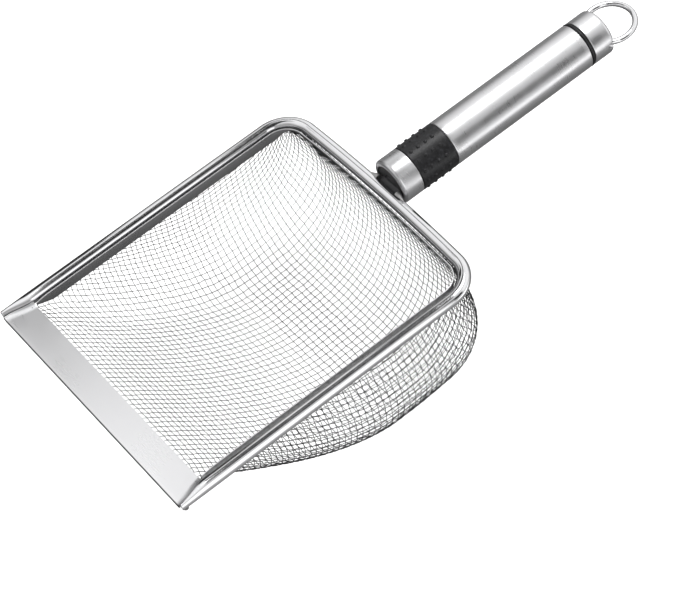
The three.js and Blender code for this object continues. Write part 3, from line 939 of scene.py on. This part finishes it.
def neck():
    """The short neck between the back rail and the ferrule's face, low behind the rail."""
    rings = []
    rail_y = BACK_Y + RAIL_BOW
    for share in [i / 12 for i in range(13)]:
        y = rail_y + 0.8 + (FERRULE_Y + 0.45 - rail_y - 0.8) * share
        half_x = NECK_HALF + NECK_FLARE * (1 - share) ** 2.2
        high, low = NECK_TOP - NECK_DIP * math.sin(math.pi * share), NECK_LOW
        rings.append([(half_x * a, y, (high + low) / 2 + (high - low) / 2 * b)
                      for a, b in squared_oval(48, 0.5, 0.6)])
    return loft(rings)


def weld_web(side):
    """The ground-down weld at one side of the neck, running out along the rail."""
    rings = []
    back = BACK_Y + RAIL_BOW + 1.0
    for share in [i / 24 for i in range(25)]:
        x = side * (WEB_START + WEB_LENGTH * share)
        fall = smooth_step(share)
        front = FERRULE_Y + 0.5 - WEB_TAPER * fall ** 0.7
        high = WEB_TOP - WEB_FALL * fall
        rings.append([(x, (front + back) / 2 + (front - back) / 2 * a, WEB_MID_Z + (high - WEB_MID_Z) * b)
                      for a, b in squared_oval(20, 0.6, 0.75)])
    return loft(rings)


class SIEVE_OT_root(bpy.types.Operator):
    """Make the neck and the welds that hold the handle on the back rail"""

    bl_idname = "sieve.root"
    bl_label = "Handle Root"

    def execute(self, context):
        make_piece("neck_flared", *neck(), "dark_steel", replaces=["neck_saddle"])
        for side, word in ((1, "right"), (-1, "left")):
            node = "neck_weld_" + word
            make_piece("neck_web_" + word, *weld_web(side), "weld_steel", replaces=[node])
        return {"FINISHED"}


# ---------------------------------------------------------------- handle
SLEEVE_BORE_R = 11.2
SPIGOT_R = 7.5
FACE_BORE_R = 9.7
DISC_R, DISC_BORE_R = 9.4, 4.3
TANG_R = 4
AXIS_R = 0.01
STUD_ROWS, STUDS_IN_ROW = 13, 4
FIRST_STUD, STUD_GAP = 2.7, 4.5
ROW_SHIFT = 0.02
RING_BORE_R = 1.9
CUT_REACH = 20
EDGE_BEVEL = 0.25


def ferrule():
    """The bright turned ferrule with its rounded front edge and a recessed face."""
    inside, edge, end = SLEEVE_BORE_R, 1.7, GRIP_Y - 0.3
    outline = [(FACE_BORE_R, FERRULE_Y + 1.4), (FACE_BORE_R, FERRULE_Y + 0.25),
               (FACE_BORE_R + 0.15, FERRULE_Y)]
    outline += arc(HANDLE_R - edge, FERRULE_Y + edge, edge, -90, 0, 12)
    outline += [(HANDLE_R, end - 0.45)] + arc(HANDLE_R - 0.35, end - 0.35, 0.35, 0, 90, 4)
    outline += [(inside, end), (inside, FERRULE_Y + 2.3)]
    return turned(outline)


def grip_studs(sizes):
    """The moulded grip as one skin, with rows of small round studs raised on it."""
    tall, width = mm(sizes.stud_height), mm(sizes.stud_width)
    ground = GRIP_TOP_R - tall
    sides, steps = 416, 96
    front, rear, round_r = GRIP_Y, GRIP_END_Y, 0.3
    levels = [(SLEEVE_BORE_R, front, False)]
    levels += [(r, y, False) for r, y in arc(ground - round_r, front + round_r, round_r, -90, -15, 4)]
    span = rear - front - 2 * round_r
    levels += [(ground, front + round_r + span * i / steps, True) for i in range(steps + 1)]
    levels += [(r, y, False) for r, y in arc(ground - round_r, rear - round_r, round_r, 15, 90, 4)]
    levels += [(SLEEVE_BORE_R, rear, False)]
    rings = []
    for i in range(sides):
        turn = 2 * math.pi * i / sides
        row = round(turn / (2 * math.pi) * STUD_ROWS - ROW_SHIFT)
        off = ground * (turn - 2 * math.pi * (row + ROW_SHIFT) / STUD_ROWS)
        ring = []
        for r, y, outer in levels:
            if outer:
                on = y - GRIP_Y - FIRST_STUD
                column = min(max(round(on / STUD_GAP), 0), STUDS_IN_ROW - 1)
                away = math.hypot(off, on - column * STUD_GAP) / (width / 2)
                if away < 1:
                    r += tall * math.sqrt(1 - away ** 4)
            ring.append((r * math.cos(turn), y, HANDLE_Z + r * math.sin(turn)))
        rings.append(ring)
    return loft(rings, closed=True)


def handle_tube():
    inside, edge = HANDLE_R - 1.1, 0.45
    outline = [(inside, TUBE_Y)] + arc(HANDLE_R - edge, TUBE_Y + edge, edge, -90, 0, 5)
    for share in [i / 24 for i in range(1, 24)]:
        outline.append((HANDLE_R, TUBE_Y + (TUBE_END_Y - TUBE_Y) * share))
    outline += arc(HANDLE_R - edge, TUBE_END_Y - edge, edge, 0, 90, 5)
    outline.append((inside, TUBE_END_Y))
    return turned(outline, sides=128)


def seal_ring():
    half = (SEAL_END_Y - SEAL_Y) / 2
    outline = [(SPIGOT_R + 0.3, SEAL_Y)]
    outline += arc(SEAL_R - half, SEAL_Y + half, half, -90, 90, 16)
    outline.append((SPIGOT_R + 0.3, SEAL_END_Y))
    return turned(outline)


def end_disc():
    front = FERRULE_Y + 0.55
    outline = [(DISC_BORE_R, front), (DISC_BORE_R + 0.15, front - 0.12), (DISC_R - 0.2, front - 0.05),
               (DISC_R, front + 0.15), (DISC_R, front + 1.2), (DISC_BORE_R, front + 1.2)]
    return turned(outline)


def tang_rod():
    front, end = along(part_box("tang_rod")[0].y), along(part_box("tang_rod")[1].y)
    outline = [(AXIS_R, front + 0.3), (TANG_R - 0.5, front + 0.3), (TANG_R - 0.1, front + 0.6),
               (TANG_R, front + 1), (TANG_R, end - 1), (TANG_R - 1, end), (AXIS_R, end)]
    return solid_turned(outline, sides=48)


def end_cap(context):
    """The end cap: turned, then bored across for the ring and slotted at both ends of that bore."""
    edge = 2.3
    outline = [(AXIS_R, SPIGOT_Y), (SPIGOT_R - 0.8, SPIGOT_Y), (SPIGOT_R, SPIGOT_Y + 0.8),
               (SPIGOT_R, SEAL_END_Y + 0.3), (HANDLE_R - 0.4, SEAL_END_Y + 0.3)]
    outline += arc(HANDLE_R - 0.4, SEAL_END_Y + 0.7, 0.4, -90, 0, 4)[1:]
    outline += arc(HANDLE_R - edge, CAP_END_Y - edge, edge, 0, 90, 12) + [(AXIS_R, CAP_END_Y)]
    piece = make_piece("end_cap_turned", *solid_turned(outline, sides=128), "satin_steel",
                       replaces=["end_cap"])
    leg = RING_WIRE_R + 0.25
    spread = math.radians(RING_SWING + 2)
    end = CAP_END_Y + 2
    mouth = (end - RING_PIVOT_Y) * math.tan(spread) + leg / math.cos(spread)
    low = [(RING_PIVOT_Y - leg * 0.8, -leg * 0.7), (RING_PIVOT_Y - leg * 0.2, -leg * 1.05), (end, -mouth)]
    wedge = [(RING_PIVOT_Y - leg, 0.0)] + low + [(y, -z) for y, z in reversed(low)]
    start = RING_LEG_X - RING_WIRE_R - 0.4
    cutters = [loft([[(x, y, HANDLE_Z + z) for y, z in wedge] for x in (side * start, side * CUT_REACH)])
               for side in (1, -1)]
    bore = circle(RING_PIVOT_Y, HANDLE_Z, RING_BORE_R, 24)
    cutters.append(loft([[(x, y, z) for y, z in bore] for x in (-CUT_REACH, CUT_REACH)]))
    for n, cutter in enumerate(cutters):
        tool = make_piece(f"cap_cutter_{n}", *cutter, "satin_steel")
        cut = piece.modifiers.new("slot", "BOOLEAN")
        cut.operation, cut.solver, cut.object = "DIFFERENCE", "EXACT", tool
        context.view_layer.objects.active = piece
        bpy.ops.object.modifier_apply(modifier=cut.name)
        bpy.data.objects.remove(tool)
    soften = piece.modifiers.new("soft_edges", "BEVEL")
    soften.width, soften.segments, soften.limit_method = EDGE_BEVEL / 1000, 2, "ANGLE"
    soften.angle_limit = math.radians(40)
    piece.data.set_sharp_from_angle(angle=math.radians(CREASE))


class SIEVE_OT_handle(bpy.types.Operator):
    """Make the ferrule, the studded grip, the tube, the seal and the end cap of the handle"""

    bl_idname = "sieve.handle"
    bl_label = "Handle"

    def execute(self, context):
        sizes = context.scene.sieve_sizes
        make_piece("ferrule_turned", *ferrule(), "satin_steel", replaces=["ferrule"])
        make_piece("end_disc_dark", *end_disc(), "dark_steel", replaces=["ferrule_end_disc"])
        make_piece("tang_rod_turned", *tang_rod(), "dark_steel", replaces=["tang_rod"])
        make_piece("grip_studded", *grip_studs(sizes), "black_rubber", replaces=["grip_sleeve"], crease=50)
        make_piece("handle_tube_turned", *handle_tube(), "satin_steel", replaces=["handle_tube"])
        make_piece("seal_ring_moulded", *seal_ring(), "black_rubber", replaces=["seal_ring"])
        end_cap(context)
        return {"FINISHED"}


# ---------------------------------------------------------------- hanging ring
def hanging_ring():
    """The bent wire of the ring: a round eye and the straight side it turns on."""
    start = math.degrees(math.asin((RING_PIVOT_Y - RING_Y) / RING_R))
    bend = 6
    right = [(0.2, RING_PIVOT_Y), (RING_LEG_X - 4, RING_PIVOT_Y), (RING_LEG_X - 2.2, RING_PIVOT_Y)]
    right += [(RING_LEG_X - 1.3, RING_PIVOT_Y + 0.06), (RING_LEG_X - 0.6, RING_PIVOT_Y + 0.25)]
    eye = arc(0, RING_Y, RING_R, start + bend, 180 - start - bend, 88)
    path = right + eye + [(-x, y) for x, y in reversed(right)]
    section = circle(0, HANDLE_Z, RING_WIRE_R, 24)
    return loft(flat_sweep(path, [section] * len(path)))


class SIEVE_OT_ring(bpy.types.Operator):
    """Make the wire ring that hangs in the end cap"""

    bl_idname = "sieve.ring"
    bl_label = "Hanging Ring"

    def execute(self, context):
        make_piece("hanging_ring_wire", *hanging_ring(), "polished_steel", body="ring",
                   replaces=["hanging_ring"], crease=70)
        return {"FINISHED"}


# ---------------------------------------------------------------- kept CAD pieces
class SIEVE_OT_kept(bpy.types.Operator):
    """Finish the pieces that are shown as they were packed"""

    bl_idname = "sieve.kept"
    bl_label = "Packed Pieces"

    def execute(self, context):
        slots = {row["node"]: row["material_slot"] for row in frame["record"]["subparts"]}
        for name, node in frame["nodes"].items():
            if node.hide_render:
                continue
            node.data.materials.clear()
            node.data.materials.append(finish_for(slots[name]))
            node.data.shade_smooth()
            node.data.set_sharp_from_angle(angle=math.radians(CREASE))
        return {"FINISHED"}


# ---------------------------------------------------------------- stage
VIEW_TARGET = spot(40.2, 121.1, 0)
FLOOR_GAP = 0.0003
CARD_Z = 0.42
CARD_X = 0.45
PAPER_GLOW = 0.42
LAMP_AIM = Vector((0, 0, 0.05))
LAMPS = [
    ("key_box", Vector((-0.15, 0.5, 1.5)), 0.5, 0.9, 9, True),
    ("fill_box", Vector((0.9, -0.9, 1.4)), 1.0, 0.8, 5, False),
]
SKY_STRENGTH = 1.25
LEFT_TONES = [(0.0, 0.05), (0.2, 0.22), (0.42, 0.5), (0.6, 0.85), (0.78, 0.92), (0.97, 1.0)]
RIGHT_TONES = [(0.0, 0.55), (0.1, 0.42), (0.5, 0.33), (0.8, 0.6), (0.97, 1.0)]
BACK_TONES = [(0.0, 0.5), (0.1, 0.95), (0.6, 1.0), (0.8, 0.8), (0.97, 1.0)]


def level_card(x_from, x_to, y_from, y_to, z):
    return [(x_from, y_from, z), (x_to, y_from, z), (x_to, y_to, z), (x_from, y_to, z)]


def upright_card(x, y_from, y_to, z_from, z_to):
    return [(x, y_from, z_from), (x, y_to, z_from), (x, y_to, z_to), (x, y_from, z_to)]


CARDS = [
    ("flag_over_rim", level_card(-0.08, 0.24, -0.10, 0.11, CARD_Z), 0.03),
    ("flag_over_far_rail", level_card(-0.17, -0.08, -0.10, 0.11, CARD_Z), 0.1),
    ("flag_for_rail_end", level_card(-0.46, -0.318, -0.14, -0.01, CARD_Z), 0.04),
    ("flag_beside_rail_end", upright_card(-0.46, -0.14, -0.01, 0, CARD_Z), 0.04),
    ("flag_for_back_rail", level_card(-0.36, -0.14, 0.07, 0.14, CARD_Z), 0.03),
    ("flag_beside_handle", upright_card(CARD_X, 0.13, 0.40, 0.15, 0.48), 0.06),
    ("panel_below_handle", level_card(0.16, 0.42, 0.10, 0.40, 0.001), 1.9),
    ("panel_beside_rim", upright_card(CARD_X, -0.14, 0.11, 0, CARD_Z), 1.6),
]


def floor_finish(stage):
    """Pale paper that looks evenly lit, and that the steel sees darker close round the sieve."""
    material, sheet = new_finish("floor_paper")
    mottle = sheet.cloud(60, 3, 0.5)
    colour = sheet.blend(mottle, shade(stage.floor_tone, 0.99), stage.floor_tone)
    paper = sheet.add("ShaderNodeBsdfPrincipled", {}, {
        "Base Color": colour, "Roughness": 0.9,
        "Emission Color": (1, 1, 1), "Emission Strength": PAPER_GLOW})
    away = sheet.add("ShaderNodeVectorMath", {"operation": "LENGTH"}, {
        0: sheet.place(stretch=(1, 0.55, 0))}, output=1)
    across = sheet.part(sheet.place(), 0)
    glow = sheet.spread(away, 0.10, 0.34, 0.30, 0.75) * sheet.spread(across, -0.05, 0.12, 0.42, 1.0)
    dim = sheet.add("ShaderNodeEmission", {}, {"Color": glow, "Strength": 1.0})
    sheet.seen_apart("ShaderNodeOutputMaterial", dim, paper)
    return material


def soft_box(name, place, width, height, power, glossy):
    lamp = bpy.data.lights.new(name, "AREA")
    lamp.shape = "RECTANGLE"
    lamp.size, lamp.size_y, lamp.energy = width, height, power
    holder = put(name, lamp)
    holder.visible_glossy = glossy
    holder.location = place
    holder.rotation_euler = (LAMP_AIM - place).to_track_quat("-Z", "Y").to_euler()


def studio_sky():
    """A white studio that the steel sees with a dark horizon, a grey side and a pale back."""
    world = bpy.data.worlds.new("studio")
    world.use_nodes = True
    sheet = Sheet(world.node_tree)
    way = sheet.add("ShaderNodeTexCoord", output=0)
    left, right, back = [
        sheet.add("ShaderNodeValToRGB", {"stops": tones}, {"Fac": sheet.part(way, 2)})
        for tones in (LEFT_TONES, RIGHT_TONES, BACK_TONES)]
    sides = sheet.blend(sheet.spread(sheet.part(way, 0), -0.15, 0.25, 0, 1), left, right)
    tone = sheet.blend(sheet.spread(sheet.part(way, 1), 0.35, 0.7, 0, 1), sides, back)
    lit = sheet.add("ShaderNodeBackground", {}, {"Color": tone, "Strength": SKY_STRENGTH})
    plain = sheet.add("ShaderNodeBackground", {}, {"Color": (1, 1, 1), "Strength": 1.0})
    sheet.seen_apart("ShaderNodeOutputWorld", lit, plain)
    bpy.context.scene.world = world


def glossy_card(name, corners, tone):
    """A studio card that only the polished surfaces see: dark flags and white panels."""
    mesh = bpy.data.meshes.new(name)
    mesh.from_pydata(corners, [], [(0, 1, 2, 3)])
    card = put(name, mesh)
    material, sheet = new_finish(name)
    light = sheet.add("ShaderNodeEmission", {}, {"Color": (tone, tone, tone), "Strength": 1.0})
    sheet.add("ShaderNodeOutputMaterial", {}, {"Surface": light})
    mesh.materials.append(material)
    card.visible_camera = card.visible_diffuse = card.visible_shadow = False
    card.visible_transmission = card.visible_volume_scatter = False


class SIEVE_OT_stage(bpy.types.Operator):
    """Set the floor, the soft lights and the camera"""

    bl_idname = "sieve.stage"
    bl_label = "Stage"

    def execute(self, context):
        stage = context.scene.sieve_stage
        bpy.ops.mesh.primitive_plane_add(size=8, location=(0, 0, CAD_BOX[0][2] - FLOOR_GAP))
        floor = context.active_object
        floor.name = "floor"
        floor.data.materials.append(floor_finish(stage))
        studio_sky()
        for lamp in LAMPS:
            soft_box(*lamp)
        for name, corners, tone in CARDS:
            glossy_card(name, corners, tone)

        turn, height, roll = stage.view_turn, stage.view_height, stage.view_roll
        back = Vector((math.sin(turn) * math.cos(height), -math.cos(turn) * math.cos(height),
                       math.sin(height)))
        right = (-back).cross(Vector((0, 0, 1))).normalized()
        up = right.cross(-back)
        rolled_right = right * math.cos(roll) + up * math.sin(roll)
        rolled_up = up * math.cos(roll) - right * math.sin(roll)
        camera = bpy.data.cameras.new("camera")
        camera.lens, camera.sensor_width, camera.clip_end = stage.lens, 36, 20
        holder = put("camera", camera)
        place = VIEW_TARGET + back * stage.view_distance
        turned_view = Matrix((rolled_right, rolled_up, back)).transposed().to_4x4()
        holder.matrix_world = Matrix.Translation(place) @ turned_view
        context.scene.camera = holder
        context.scene.view_settings.view_transform = "Standard"
        return {"FINISHED"}


# ---------------------------------------------------------------- panel
class SIEVE_PT_maker(bpy.types.Panel):
    """Buttons for each piece and the sizes they use"""

    bl_idname = "SIEVE_PT_maker"
    bl_label = "Soil Sieve"
    bl_space_type = "VIEW_3D"
    bl_region_type = "UI"
    bl_category = "Sieve"

    def draw(self, context):
        for maker in MAKERS:
            self.layout.operator(maker.bl_idname)
        for group in (context.scene.sieve_sizes, context.scene.sieve_stage):
            box = self.layout.box()
            for name in group.bl_rna.properties.keys():
                if name not in {"rna_type", "name"}:
                    box.prop(group, name)


MAKERS = (SIEVE_OT_rim, SIEVE_OT_net, SIEVE_OT_lip, SIEVE_OT_root, SIEVE_OT_handle, SIEVE_OT_ring,
          SIEVE_OT_kept, SIEVE_OT_stage)
CLASSES = (SieveSizes, SieveStage, *MAKERS, SIEVE_PT_maker)


def register():
    for item in CLASSES:
        bpy.utils.register_class(item)
    bpy.types.Scene.sieve_sizes = bpy.props.PointerProperty(type=SieveSizes)
    bpy.types.Scene.sieve_stage = bpy.props.PointerProperty(type=SieveStage)


def unregister():
    del bpy.types.Scene.sieve_stage
    del bpy.types.Scene.sieve_sizes
    for item in reversed(CLASSES):
        bpy.utils.unregister_class(item)


def main():
    register()
    bpy.ops.sieve.rim()
    bpy.ops.sieve.net()
    bpy.ops.sieve.lip()
    bpy.ops.sieve.root()
    bpy.ops.sieve.handle()
    bpy.ops.sieve.ring()
    bpy.ops.sieve.kept()
    bpy.ops.sieve.stage()


if __name__ == "__main__":
    main()
